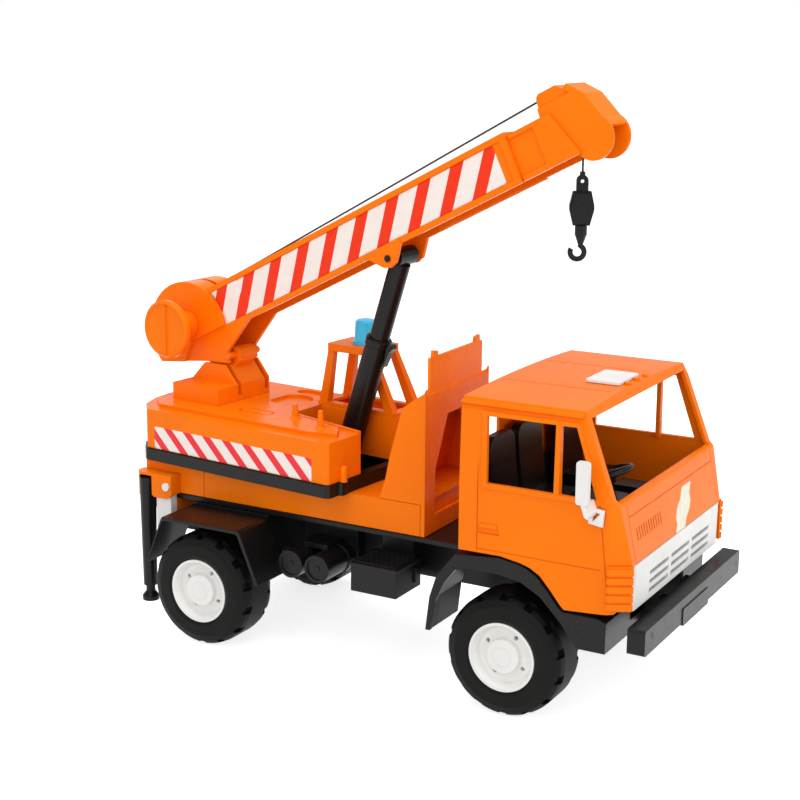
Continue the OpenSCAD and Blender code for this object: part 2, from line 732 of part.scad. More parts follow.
module operator_cab() {
  pts = [[-225, 28, -217, 27.5], [-225, 59, -217, 56.5], [-158, 28, -178, 27.5], [-158, 59, -178, 56.5]];
  color(orange) super() {
    for (p = pts) {
      hull() {
        translate([p[0] - 4.2, p[1] - 3.5, house_z1 + gap_c - 0.3]) cube([8.4, 7, 0.4]);
        translate([p[2] - 3, p[3] - 2.5, post_z - 6]) cube([6, 5, 1]);
      }
    }
    translate([0, 0, post_z - 6]) linear_extrude(6) rr(-221, 24, -174, 60, 2.4);
    translate([0, 0, house_z1 + gap_c - 0.3]) linear_extrude(2.6) difference() {
      polygon([[-230, 24.2], [-152, 24.2], [-152, 63.2], [-230, 63.2]]);
      polygon([[-222, 31], [-160, 31], [-160, 57], [-222, 57]]);
    }
  }
}

module beacon() {
  color(blue) super() translate([-195, 42, post_z + gap_c - 0.3]) {
    cylinder(r = 10.6, h = 2.2);
    cylinder(r1 = 9.4, r2 = 8.4, h = 18);
    translate([0, 0, 18]) cylinder(r1 = 8.4, r2 = 6.9, h = 1.6);
  }
}

module pedestal() {
  z0 = house_z1 + gap_c - 0.3;
  color(orange) super() difference() {
    union() {
      translate([0, 0, z0]) linear_extrude(190.2 - z0) rr(-339, -33.2, -289, 33.2, 1.6);
      slab(-10.2, 33.2) polygon([[-337.6, 190], [-323.5, 205], [-302, 205], [-289.6, 190]]);
      slab(boom_v - 10, boom_v + 10) polygon([[-312, 200], [-308, 214], [-301, 219.5], [-295.5, 216], [-294, 208], [-299, 203]]);
      cyl_y(pivot_u, boom_v - 10, boom_v + 10, pivot_z, 7);
    }
    cyl_y(pivot_u, boom_v - 12, boom_v + 12, pivot_z, boom_pin_r);
    // slots that take the boom cheeks
    for (s = [-1, 1])
      translate([0, boom_v + s * (boom_hw - 1.5), 0])
        bx([-337, -2.2, 181], [-288.5, 2.2, 230]);
    // inner hollow
    bx([-336, -30, z0 - 1], [-292, -9.6, 187.4]);
  }
}

module boom_pin() {
  color(black) super() {
    cyl_y(pivot_u, boom_v - boom_hw - 0.8, boom_v + boom_hw + 0.8, pivot_z, boom_pin_r);
  }
}

// ---------- boom ----------

function cut_line(s) = 19.5 - (s + 68.9) * 0.354;

module drum_outline(r) {
  intersection() {
    translate([drum_s, drum_t]) circle(r, $fn = 96);
    polygon([[-90, cut_line(-90)], [-46, cut_line(-46)], [-30, 24], [20, 24], [20, 90], [-90, 90]]);
  }
}

cheek = [[35.3, bb + E], [2.2, 3.7], [-1.6, -6], [-25.1, 4.3], [-60, 16.4], [-48, 30], [-10, 50], [35.3, 40]];

module boom_outer() {
  w = boom_wall;
  color(orange) boom_frame() difference() {
    union() {
      // channel
      bx([-20, -boom_hw + 0.9, bb], [outer_len, boom_hw - 0.9, bt]);
      for (t = [[bb, 4.3], [bt - 4.4, 4.4]])
        bx([-6, -boom_hw, t[0]], [outer_len, boom_hw, t[0] + t[1]]);
      bx([outer_len - 5.5, -boom_hw, bb], [outer_len, boom_hw, bt]);
      slab(-21, 21) drum_outline(drum_r);
      for (y = [-boom_hw, boom_hw - w - 0.9])
        slab(y, y + w + 0.9) polygon(cheek);
      // ears for the strut
      for (y = [-boom_hw - 0.9, boom_hw - 2.3])
        slab(y, y + 3.2) polygon([[170.6, 20], [182, 8.6], [188, 6.2], [194.5, 8], [204.5, 19.6], [206, bb + 4.4], [172, bb + 4.4]]);
    }
    // inside of the channel, open below
    bx([-5, -boom_hw + w + 0.9, -20], [outer_len + 1, boom_hw - w - 0.9, bt - w]);
    slab(-21 + w, 21 - w) intersection() {
      translate([drum_s, drum_t]) circle(drum_r - w, $fn = 96);
      polygon([[-90, cut_line(-90) + w], [-47, cut_line(-47) + w], [-31, 24 + w], [-9, 24 + w], [-9, 52], [0, 62], [-90, 90]]);
    }
    cyl_y(win_s, -30, 30, win_t, winch_axle_r + run_c);
    cyl_y(0, -30, 30, 0, boom_pin_r + run_c);
    cyl_y(ear_s, -30, 30, ear_t, strut_pin_r);
    // cord slot in the top
    bx([-30, -2.2, bt - 6], [3, 2.2, bt + 30]);
  }
}

module boom_inner() {
  w = boom_wall;
  h = boom_hw - w - 0.9 - gap_c;
  t1 = bt - w - gap_c;
  color(orange) boom_frame() difference() {
    union() {
      bx([40 + 180, -h, bb + 0.6], [inner_end, h, t1]);
      slab(-h, h) polygon([[inner_end - 1, bb + 0.6], [371, bb + 0.6], [358.4, t1], [inner_end - 1, t1]]);
      bx([outer_len + 1, -h - 1.6, bb + 0.6], [inner_end, h + 1.6, bb + 4.4]);
      bx([outer_len + 1, -h - 1.6, t1 - 3.4], [inner_end, h + 1.6, t1]);
      slab(-h - 1.6, h + 1.6) polygon([[inner_end - 1.8, bb + 0.6], [371, bb + 0.6], [358.4, t1], [inner_end - 1.8, t1]]);
    }
    bx([219, -h + w, 0], [400, h - w, t1 - w]);
    bx([345, -head_hw - gap_c, 0], [400, head_hw + gap_c, 80]);
  }
}

module head_outline() {
  polygon([[350, t_head0()], [350, 58], [351, 68.5], [354.5, 71.6], [368.6, 71.6], [373.4, 67], [378.4, 68], [387.6, 57],
    [398, 28], [lobe_s, lobe_t], [lobe_s - 10, lobe_t - 12], [372, bb + 4]]);
  translate([lobe_s, lobe_t]) circle(16);
}

function t_head0() = bb + 6;

module boom_head() {
  color(orange) boom_frame() difference() {
    union() {
      slab(-head_hw + 2, head_hw - 2) head_outline();
      slab(-head_hw, head_hw) intersection() {
        head_outline();
        translate([330, 0]) square([90, 62]);
      }
      // raised front band
      slab(-head_hw, head_hw) polygon([[374.6, 66.6], [378.4, 68.6], [388.4, 57], [398.6, 27], [393, 26], [381.6, 57]]);
      cyl_y(351.5, -4, 4, 69, 4.2);
    }
    slab(-head_hw + 2.4, head_hw - 2.4) polygon([[351, 0], [351, 66], [354, 68.2], [367, 68.2], [372, 64.8], [378, 63.6], [384, 55],
      [393.5, 29], [420, 29], [420, 0]]);
    cyl_y(roller_s, -head_hw + 1, head_hw - 1, roller_t, 2 + run_c);
    bx([340, -1.5, 65.5], [360, 1.5, 70.6]);
    cyl_y(351.5, -20, 20, 69, 1.4, 24);
  }
}

module guide_roller() {
  color(black) boom_frame() {
    translate([roller_s, 0, roller_t]) rotate([90, 0, 0]) rotate_extrude($fn = 64)
      polygon([[0, 1.2 - head_hw], [2, 1.2 - head_hw], [2, -4.2], [8, -4.2], [8, -3.2], [6.2, -1.4], [6.2, 1.4],
        [8, 3.2], [8, 4.2], [2, 4.2], [2, head_hw - 1.2], [0, head_hw - 1.2]]);
  }
}

module winch_spool() {
  color(orange) boom_frame() {
    cyl_y(win_s, -44, 21.6, win_t, winch_axle_r);
    cyl_y(win_s, -14, 14, win_t, 9);
    for (y = [-14.4, 13])
      cyl_y(win_s, y, y + 1.4, win_t, 11.4);
    cyl_y(win_s, -46, -21 - gap_c, win_t, 12);
    translate([win_s, 0, win_t]) rotate([90, 0, 0]) rotate_extrude($fn = 96)
      polygon([[0, 42], [knob_r - 1.4, 42], [knob_r, 43.4], [knob_r, 47.2], [knob_r - 1.4, 48.7], [knob_r - 3, 48.7],
        [knob_r - 4, 47.4], [0, 47.4]]);
    translate([win_s, 0, win_t]) rotate([0, boom_angle, 0]) bx([-1.4, -49.2, -knob_r + 3.4], [1.4, -47, knob_r - 3.4]);
  }
}

// ---------- strut ----------

tube_top = 98;

module strut_lower() {
  color(black) strut_frame() difference() {
    union() {
      translate([0, 0, 5]) cylinder(r = strut_r1, h = tube_top - 5, $fn = 64);
      cyl_y(0, -strut_r1 + 0.6, strut_r1 - 0.6, 0, 6.4);
      bx([-5.6, -strut_r1 + 2.4, 0], [5.6, strut_r1 - 2.4, 8]);
      translate([0, 0, tube_top - 6]) cylinder(r = strut_r1 + 0.7, h = 5, $fn = 64);
    }
    translate([0, 0, 12]) cylinder(r = strut_r2 + run_c, h = 120, $fn = 64);
    cyl_y(0, -20, 20, 0, strut_pin_r + run_c);
  }
}

module strut_upper() {
  color(black) strut_frame() difference() {
    union() {
      translate([0, 0, 44]) cylinder(r = strut_r2, h = strut_len - 50, $fn = 64);
      translate([0, 0, strut_len]) cyl_y(0, -strut_r2 - 3, strut_r2 + 3, 0, 7.4);
    }
    translate([0, 0, strut_len]) cyl_y(0, -30, 30, 0, strut_pin_r + open_play);
  }
}

module strut_top_pin() {
  color(black) boom_frame() {
    cyl_y(ear_s, -boom_hw - 1.8, boom_hw + 1.8, ear_t, strut_pin_r);
  }
}

module strut_foot_pin() {
  color(black) super() cyl_y(strut_u, -17, well_v1 + 2.6, strut_z, strut_pin_r);
}

module latch_clip() {
  color(black) strut_frame() translate([0, 0, tube_top]) {
    slab(-3.4, 3.4) polygon([[strut_r1 + 0.7 + 0.05, -4], [strut_r1 + 2.4, -20], [strut_r1 + 4, -7], [strut_r1 + 6.2, -2.6], [strut_r1 + 5, 0],
      [strut_r1 + 1.5, -0.4]]);
  }
}

// ---------- cord and hook ----------

// route in the boom plane: [along, above]
cord_pts = [[-27.9, 48.2], [-14, 56.4], [2, 60], [60, 61.5], [130, 63.4], [200, 65.2], [270, 67.1], [340, 68.9],
  [350, 69.2], [358, 62], [361.4, 54], [364.4, 50.1], [368.2, 50.3], [371.6, 48.7], [373.8, 45.6], [374.2, 42.5],
  [373.4, 39.9]];

function seg_len(p, i) = norm(p[i + 1] - p[i]);
function unit(v) = v / norm(v);

module tube_path(p, r, n = 8) {
  m = len(p);
  dirs = [for (i = [0 : m - 1]) unit(i == 0 ? p[1] - p[0] : i == m - 1 ? p[m - 1] - p[m - 2] : p[i + 1] - p[i - 1])];
  side = [0, 1, 0];
  pts = [for (i = [0 : m - 1]) let (u2 = unit(cross3(dirs[i], side)))
    for (k = [0 : n - 1]) p[i] + r * (cos(k * 360 / n) * side + sin(k * 360 / n) * u2)];
  faces = concat(
    [[for (k = [0 : n - 1]) k]],
    [for (i = [0 : m - 2]) for (k = [0 : n - 1])
      [i * n + k, (i + 1) * n + k, (i + 1) * n + (k + 1) % n, i * n + (k + 1) % n]],
    [[for (k = [n - 1 : -1 : 0]) (m - 1) * n + k]]
  );
  polyhedron(points = pts, faces = faces, convexity = 6);
}

function cross3(a, b) = [a[1] * b[2] - a[2] * b[1], a[2] * b[0] - a[0] * b[2], a[0] * b[1] - a[1] * b[0]];

run_xyz = [for (q = cord_pts) [q[0], 0, q[1]]];

module cord_run() {
  color(black) boom_frame() tube_path(run_xyz, cord_d / 2);
}

// cord hanging below the boom head's lower edge, down to the knot in the eye
drop = 10.5;
block_mid = -36;
ring_z = -67;

module cord_drop() {
  color(black) hook_frame() tube_path([for (i = [0 : 5]) [0, 0, 21.6 - i * (21.6 + drop) / 5]], cord_d / 2);
}

// chamfered half of the block: a plan of the block at three thicknesses
module block_layer(y0, y1, k) {
  top = block_mid + block_h / 2 - 0.3 + k;
  low = block_mid - block_h / 2 + 0.3 - k;
  slab(y0, y1) polygon([[-6.1 - k, top], [6.1 + k, top], [8.4 + k, -34], [8.4 + k, -37], [5.6 + k, low],
    [-5.6 - k, low], [-8.4 - k, -37], [-8.4 - k, -34]]);
}

module hook_block() {
  color(black) hook_frame() rotate([0, 0, 35]) {
    // eye that the cord is tied to
    difference() {
      union() {
        cyl_y(0, -1.8, 1.8, -16.8, 4.2, 48);
        bx([-4.2, -1.8, -24.4], [4.2, 1.8, -16.8]);
      }
      cyl_y(0, -3, 3, -17.2, 1.3, 32);
    }
    block_layer(-4.2, 4.2, -1.3);
    block_layer(-3.4, 3.4, -0.5);
    block_layer(-2.6, 2.6, 0.3);
    cyl_y(0, -4.7, 4.7, -35.5, 3, 32);
    // knot above the eye
    translate([0, 0, -12.9]) cylinder(r = 1.9, h = 2.4 - 0.05, $fn = 24);
  }
}

module hook() {
  color(black) hook_frame() rotate([0, 0, 35]) {
    translate([0, 0, -55]) cylinder(r = 4.3, h = 6.95, $fn = 48);
    translate([0, 0, -63.4]) cylinder(r = 1.9, h = 2.5, $fn = 48);
    translate([0, 0, -61]) cylinder(r1 = 2, r2 = 4.1, h = 6.05, $fn = 48);
    translate([-2.2, 0, ring_z]) rotate([90, 0, 0]) rotate([0, 0, 150])
      rotate_extrude(angle = 280, $fn = 48) translate([4.9, 0]) circle(1.9, $fn = 24);
  }
}

// ---------- nodes ----------

chassis_frame();
bumper();
axle(0);  // front_axle
axle(rear_x);  // rear_axle
tyre(0, 0);  // tyre_fr
tyre(0, 1);  // tyre_fl
tyre(rear_x, 0);  // tyre_rr
tyre(rear_x, 1);  // tyre_rl
rim(0, 0);  // rim_fr
rim(0, 1);  // rim_fl
rim(rear_x, 0);  // rim_rr
rim(rear_x, 1);  // rim_rl
front_arches();
rear_arches();
air_tanks();
battery_boxes();
cab_shell();
roof_hatch();
roof_lamps();
grille();
corner_deflectors();
mirror_right();
cab_tub();
seats();
centre_box();
steering_wheel();
bed_body();
bulkhead();
outrigger_hoods();
arm_part(0);  // arm_right
arm_part(1);  // arm_left
arm_pins();
jack_part(0);  // jack_right
jack_part(1);  // jack_left
skirt();
housing();
operator_cab();
beacon();
pedestal();
boom_pin();
boom_outer();
boom_inner();
boom_head();
guide_roller();
winch_spool();
strut_lower();
strut_upper();
strut_top_pin();
strut_foot_pin();
latch_clip();
cord_run();
cord_drop();
hook_block();
hook();
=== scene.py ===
"""Looks of the toy crane truck: moulded plastics, hazard stickers, twisted lifting cord, pale studio.

Metres, +X forward, +Y left, +Z up, wheels on Z = 0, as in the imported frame.
"""

import math

import bpy
import numpy as np
from bpy.props import FloatProperty, FloatVectorProperty, PointerProperty
from mathutils import Matrix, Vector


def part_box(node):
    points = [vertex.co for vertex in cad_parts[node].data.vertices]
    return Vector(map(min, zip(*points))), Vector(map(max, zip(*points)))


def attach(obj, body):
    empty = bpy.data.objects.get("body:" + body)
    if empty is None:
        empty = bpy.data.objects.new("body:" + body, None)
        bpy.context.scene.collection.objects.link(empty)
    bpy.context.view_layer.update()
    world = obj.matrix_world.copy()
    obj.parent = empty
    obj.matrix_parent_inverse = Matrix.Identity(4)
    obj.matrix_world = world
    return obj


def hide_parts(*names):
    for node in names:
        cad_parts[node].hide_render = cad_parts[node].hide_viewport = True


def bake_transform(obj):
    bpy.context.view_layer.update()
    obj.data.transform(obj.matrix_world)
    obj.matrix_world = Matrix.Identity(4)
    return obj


bl_info = {
    "name": "Toy crane truck",
    "version": (1, 0, 0),
    "blender": (4, 5, 0),
    "location": "View3D > Sidebar > Crane truck",
    "description": "Builds the finishes, stickers, cords and studio of a toy crane truck",
    "category": "Add Mesh",
}

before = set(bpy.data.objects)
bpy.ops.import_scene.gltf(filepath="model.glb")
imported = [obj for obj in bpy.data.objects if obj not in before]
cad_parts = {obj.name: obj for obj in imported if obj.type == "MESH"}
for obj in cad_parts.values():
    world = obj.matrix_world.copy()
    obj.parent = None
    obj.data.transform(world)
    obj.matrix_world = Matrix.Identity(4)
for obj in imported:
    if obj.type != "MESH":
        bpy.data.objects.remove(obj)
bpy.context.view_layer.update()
MM = 0.001
AXLE_X = float(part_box("front_axle")[0][0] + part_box("front_axle")[1][0]) / 2 / MM
MIDDLE_Y = float(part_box("front_axle")[0][1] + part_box("front_axle")[1][1]) / 2 / MM

# crane at rest, in millimetres from the front axle: slewing axis, swing, boom pivot and boom angle
TURN_X = -255.0
SWING = math.radians(-6.1)
PIVOT = (-301.0, 12.0, 212.5)
LIFT = math.radians(26.3)

# camera: direction, place from the front axle, lens and frame shift
CAMERA_YAW, CAMERA_PITCH, CAMERA_ROLL = (math.radians(a) for a in (120.14, -12.77, 0.26))
CAMERA_PLACE = (458.26, -1057.46, 482.42)
LENS, SENSOR = 72.094, 36.0
SHIFT = (0.02365, -0.01926)

# lifting cord: route over boom and guide roller (along, above), place of the hanging part, its length above and
# below the height of the roller's lower side
CORD_ROUTE = [(-27.9, 48.2), (-14, 56.4), (2, 60), (60, 61.5), (130, 63.4), (200, 65.2), (270, 67.1), (340, 68.9),
              (350, 69.2), (358, 62), (361.4, 54), (364.4, 50.1), (368.2, 50.3), (371.6, 48.7), (373.8, 45.6),
              (374.2, 42.5), (373.4, 39.9)]
CORD_STRETCH = ((10, 60), (335, 69))
HOOK_S, HOOK_T = 363.6, 20.0
CORD_TOP = 21.6
CORD_DROP = 10.5
YARN_BLACK = (0.018, 0.017, 0.017)

# housing sticker: ends along the side, lower and upper edge, distance from the middle plane
HOUSE_SPAN = (-329.6, -165.8)
HOUSE_BAND = (141.9, 160.2)
HOUSE_SIDE = 65.02

# boom sticker: front end, lower and upper edge, distance of web and cheek plate, where the cheek plate ends, and the
# winch drum's edge that cuts its rear end round (along, above, radius)
BOOM_END = 308.8
BOOM_BAND = (24.2, 53.2)
WEB_SIDE, CHEEK_SIDE, CHEEK_END = 17.42, 18.36, 36.2
DRUM_EDGE = (-31.0, 33.2, 42.6)

# printed bars: step, share, lean and start, in millimetres along the sticker
BOOM_BARS = (31.8, 0.415, -0.84, 1.7)
HOUSE_BARS = (0.43, 1.0, 8.2)

# plain badge: the cab front's plane (x, z, slope), the badge's middle, slant, half widths and edges
FRONT_PLANE = (92.43, 126.3, 0.2141)
BADGE_MIDDLE = (14.1, 139.8)
BADGE_SLANT = 0.865
BADGE_HALF, ROUND_HALF, ROUND_HIGH = 9.4, 14.2, 9.6
BADGE_BAND = (126.6, 154.4)


# ---------- places ----------

def on_truck(x, y, z):
    """Points measured from the front axle, in millimetres, as metres in the frame: X shifted by the axle."""
    x, y, z = np.broadcast_arrays(np.asarray(x, float), y, z)
    return np.stack([x + AXLE_X, y + MIDDLE_Y, z], axis=-1) * MM


def on_crane(u, v, z):
    """Points of the turning part, turned by the resting swing about the slewing axis, as metres."""
    u, v, z = np.broadcast_arrays(np.asarray(u, float), v, z)
    c, s = math.cos(SWING), math.sin(SWING)
    return on_truck(TURN_X + (u - TURN_X) * c - v * s, (u - TURN_X) * s + v * c, z)


def on_boom(s, v, t):
    """Points along, across and above the boom, tilted by its lift about the boom pivot, as metres."""
    s, v, t = np.broadcast_arrays(np.asarray(s, float), v, t)
    c, n = math.cos(LIFT), math.sin(LIFT)
    return on_crane(PIVOT[0] + s * c - t * n, PIVOT[1] + v, PIVOT[2] + s * n + t * c)


# ---------- shader maths ----------

class Wire:
    """One shader socket that takes part in arithmetic."""

    def __init__(self, tree, socket):
        self.tree = tree
        self.socket = socket

    def _sum(self, operation, a, b):
        wide = any(isinstance(x, Wire) and x.socket.type in {"VECTOR", "RGBA"} for x in (a, b))
        node = self.tree.nodes.new("ShaderNodeVectorMath" if wide else "ShaderNodeMath")
        node.operation = operation
        feed(self.tree, node.inputs[0], a)
        feed(self.tree, node.inputs[1], b)
        return Wire(self.tree, node.outputs[0])

    def __add__(self, other):
        return self._sum("ADD", self, other)

    def __radd__(self, other):
        return self._sum("ADD", other, self)

    def __sub__(self, other):
        return self._sum("SUBTRACT", self, other)

    def __rsub__(self, other):
        return self._sum("SUBTRACT", other, self)

    def __mul__(self, other):
        return self._sum("MULTIPLY", self, other)

    def __rmul__(self, other):
        return self._sum("MULTIPLY", other, self)

    def __truediv__(self, other):
        return self._sum("DIVIDE", self, other)

    def maths(self, operation, *others):
        """Any scalar Math operation, such as FRACT or MAXIMUM."""
        node = self.tree.nodes.new("ShaderNodeMath")
        node.operation = operation
        for slot, value in zip(node.inputs, (self, *others)):
            feed(self.tree, slot, value)
        return Wire(self.tree, node.outputs[0])

    def ramp(self, low, high):
        """0 below low, 1 above high, smooth in between."""
        node = self.tree.nodes.new("ShaderNodeMapRange")
        node.interpolation_type = "SMOOTHSTEP"
        for name, value in (("Value", self), ("From Min", low), ("From Max", high)):
            feed(self.tree, node.inputs[name], value)
        return Wire(self.tree, node.outputs[0])


def feed(tree, socket, value):
    """Links a wire to a socket, or writes a plain value on it."""
    if isinstance(value, Wire):
        tree.links.new(value.socket, socket)
    elif hasattr(socket.default_value, "__len__") and not hasattr(value, "__len__"):
        socket.default_value = [value] * len(socket.default_value)
    elif hasattr(socket.default_value, "__len__") and len(socket.default_value) == 4 and len(value) == 3:
        socket.default_value = (*value, 1.0)
    else:
        socket.default_value = value


class Finish:
    """A material under construction."""

    def __init__(self, name):
        self.material = bpy.data.materials.new(name)
        self.material.use_nodes = True
        self.tree = self.material.node_tree
        self.tree.nodes.clear()
        self.out = self.tree.nodes.new("ShaderNodeOutputMaterial")

    def put(self, kind, inputs=None, output=0, **settings):
        """Adds any node, writes its settings and feeds its inputs, and returns one output."""
        node = self.tree.nodes.new(kind)
        for name, value in settings.items():
            setattr(node, name, value)
        for name, value in (inputs or {}).items():
            feed(self.tree, node.inputs[name], value)
        return Wire(self.tree, node.outputs[output])

    def place(self):
        return self.put("ShaderNodeTexCoord", output="Object")

    def noise(self, where, scale, detail=2.0, roughness=0.5):
        return self.put("ShaderNodeTexNoise", {"Vector": where, "Scale": scale, "Detail": detail,
                                               "Roughness": roughness})

    def stretched(self, where, scale, turn=(0, 0, 0)):
        return self.put("ShaderNodeMapping", {"Vector": where, "Scale": scale, "Rotation": turn})

    def mix(self, share, a, b):
        node = self.tree.nodes.new("ShaderNodeMix")
        node.data_type = "RGBA"
        feed(self.tree, node.inputs[0], share)
        feed(self.tree, node.inputs[6], a)
        feed(self.tree, node.inputs[7], b)
        return Wire(self.tree, node.outputs[2])

    def surface(self, **inputs):
        """Principled surface: keys are socket names with underscores for spaces."""
        node = self.tree.nodes.new("ShaderNodeBsdfPrincipled")
        for name, value in inputs.items():
            feed(self.tree, node.inputs[name.replace("_", " ")], value)
        self.tree.links.new(node.outputs[0], self.out.inputs["Surface"])
        return self.material


def shade(colour, k):
    """A colour made k times as light."""
    return tuple(min(1.0, c * k) for c in colour)


def moulded(name, colour, rough, edge_radius=0.0006, grain=0.05, edge=1.12, dust=0.03,
            clouds=0.06, gloss=0.22):
    """Injection-moulded plastic: slow flow clouds, fine grain, hairline scratches, dust, softly rounded edges, and a
    painted highlight that makes the edges edge times as light, in patches."""
    f = Finish(name)
    where = f.place()
    flow = f.noise(f.stretched(where, (1.0, 2.2, 0.7)), 14.0, 3.0)
    mottle = f.noise(where, 160.0, 3.0, 0.6)
    fine = f.noise(where, 1900.0, 2.0)
    hair = f.noise(f.stretched(where, (1500.0, 60.0, 60.0), (0.2, 0.5, 0.9)), 1.0, 1.0)
    hair_b = f.noise(f.stretched(where, (50.0, 50.0, 1300.0), (0.7, 0.1, 0.3)), 1.0, 1.0)
    lines = hair.ramp(0.66, 0.72).maths("MAXIMUM", hair_b.ramp(0.67, 0.73))
    patches = f.noise(where, 38.0, 2.0).ramp(0.52, 0.66)
    scratch = lines * patches
    rounded = f.put("ShaderNodeBevel", {"Radius": edge_radius}, samples=6)
    true = f.put("ShaderNodeNewGeometry", output="True Normal")
    bend = f.put("ShaderNodeVectorMath", {0: rounded, 1: true}, output="Value", operation="DOT_PRODUCT")
    # painted highlight: a mask that is 1 near rounded edges, broken into patches by the mottle
    painted_edge_highlight = (1.0 - bend).ramp(0.04, 0.35) * mottle.ramp(0.35, 0.62)
    base = f.mix(flow.ramp(0.3, 0.7), shade(colour, 1 - clouds), shade(colour, 1 + clouds * 0.6))
    base = f.mix(mottle.ramp(0.45, 0.75) * 0.25, base, shade(colour, 0.93))
    # painted highlight: the edges are mixed towards edge times the colour
    base = f.mix(painted_edge_highlight * 0.55, base, shade(colour, edge))
    lint = f.noise(where, 700.0, 1.0).ramp(0.70, 0.76) * patches
    base = f.mix(lint * dust, base, (0.75, 0.73, 0.70))
    height = fine * 0.5 + mottle * 1.2 - scratch * 0.8
    bump = f.put("ShaderNodeBump", {"Strength": grain, "Distance": 0.0004, "Height": height, "Normal": rounded})
    roughness = (mottle - 0.5) * 0.10 + scratch * 0.22 + lint * 0.2 + (flow - 0.5) * 0.06 + rough
    return f.surface(Base_Color=base, Roughness=roughness, Normal=bump, IOR=1.5, Specular_IOR_Level=gloss)


def tyre_plastic(name, colour):
    """Matt black tyre: pebbled sidewall, faint lighter and darker patches and ash-grey dust in the grain."""
    f = Finish(name)
    where = f.place()
    pebble = f.put("ShaderNodeTexVoronoi", {"Vector": where, "Scale": 1500.0}, feature="F1")
    slow = f.noise(where, 55.0, 3.0)
    fine = f.noise(where, 900.0, 3.0, 0.65)
    rounded = f.put("ShaderNodeBevel", {"Radius": 0.0007}, samples=6)
    base = f.mix(slow.ramp(0.3, 0.7), shade(colour, 0.86), shade(colour, 1.18))
    base = f.mix(fine.ramp(0.58, 0.8) * 0.35, base, shade(colour, 2.0))
    bump = f.put("ShaderNodeBump", {"Strength": 0.18, "Distance": 0.0003, "Height": pebble * 0.6 + fine,
                                    "Normal": rounded})
    roughness = (fine - 0.5) * 0.18 + (slow - 0.5) * 0.12 + 0.5
    return f.surface(Base_Color=base, Roughness=roughness, Normal=bump, IOR=1.48, Specular_IOR_Level=0.12)


def drawn_steel(name):
    """Drawn axle rod: fine lines round the rod and a few dull spots."""
    f = Finish(name)
    where = f.place()
    lines = f.noise(f.stretched(where, (60.0, 2500.0, 60.0)), 1.0, 2.0)
    spots = f.noise(where, 300.0, 2.0).ramp(0.55, 0.7)
    base = f.mix(spots * 0.5, (0.58, 0.58, 0.59), (0.34, 0.33, 0.32))
    bump = f.put("ShaderNodeBump", {"Strength": 0.15, "Distance": 0.0002, "Height": lines})
    return f.surface(Base_Color=base, Roughness=lines * 0.14 + spots * 0.2 + 0.24, Metallic=1.0, Normal=bump)


def yarn(name, colour):
    """Twisted cord: the strands are in the mesh; this adds fibres along the strand, from the piece's own UV map."""
    f = Finish(name)
    uv = f.put("ShaderNodeTexCoord", output="UV")
    fibre = f.noise(f.stretched(uv, (9.0, 700.0, 1.0), (0, 0, 0.5)), 1.0, 3.0, 0.7)
    tone = f.noise(f.stretched(uv, (1.0, 30.0, 1.0)), 1.0, 2.0)
    base = f.mix(fibre.ramp(0.35, 0.7), shade(colour, 0.6), shade(colour, 2.4))
    base = f.mix(tone.ramp(0.4, 0.7) * 0.3, base, shade(colour, 3.2))
    bump = f.put("ShaderNodeBump", {"Strength": 0.6, "Distance": 0.0002, "Height": fibre})
    return f.surface(Base_Color=base, Roughness=fibre * 0.15 + 0.68, Normal=bump, Sheen_Weight=0.25,
                     Sheen_Roughness=0.5)


def hazard_print(name, pale, red, period, share, lean, start):
    """Printed sticker: red bars over a pale film. The UV map is in millimetres, along and above the sticker;
    a bar is where the fraction of (along + lean x above - start) / period is under share."""
    f = Finish(name)
    uv = f.put("ShaderNodeTexCoord", output="UV")
    along = f.put("ShaderNodeSeparateXYZ", {"Vector": uv}, output="X")
    above = f.put("ShaderNodeSeparateXYZ", {"Vector": uv}, output="Y")
    wobble = (f.noise(uv, 0.9, 2.0) - 0.5) * 0.16
    place = (along + above * lean - start + wobble) / period
    part = place.maths("FRACT")
    edge = 0.16 / period
    bar = part.ramp(0.0, edge) * (1.0 - part.ramp(share - edge, share))
    film = f.noise(uv, 0.12, 2.0)
    dots = f.noise(uv, 7.0, 1.0)
    white = f.mix(film.ramp(0.35, 0.7), pale, shade(pale, 0.965))
    ink = f.mix(dots.ramp(0.4, 0.65) * 0.5 + film.ramp(0.4, 0.7) * 0.35, red, shade(red, 0.86))
    height = f.noise(uv, 0.5, 2.0) + bar * 0.3
    bump = f.put("ShaderNodeBump", {"Strength": 0.05, "Distance": 0.0003, "Height": height})
    return f.surface(Base_Color=f.mix(bar, white, ink), Roughness=dots * 0.08 - bar * 0.05 + 0.3, Normal=bump,
                     Specular_IOR_Level=0.12)


def plain_film(name, colour):
    """Plain sticker film, one neutral colour with a slight unevenness and faint creases."""
    f = Finish(name)
    uv = f.put("ShaderNodeTexCoord", output="UV")
    film = f.noise(uv, 0.2, 3.0)
    fine = f.noise(uv, 5.0, 2.0)
    base = f.mix(film.ramp(0.35, 0.7), colour, shade(colour, 0.9))
    bump = f.put("ShaderNodeBump", {"Strength": 0.08, "Distance": 0.0003, "Height": film + fine * 0.2})
    return f.surface(Base_Color=base, Roughness=fine * 0.1 + 0.3, Normal=bump)


# ---------- meshes ----------

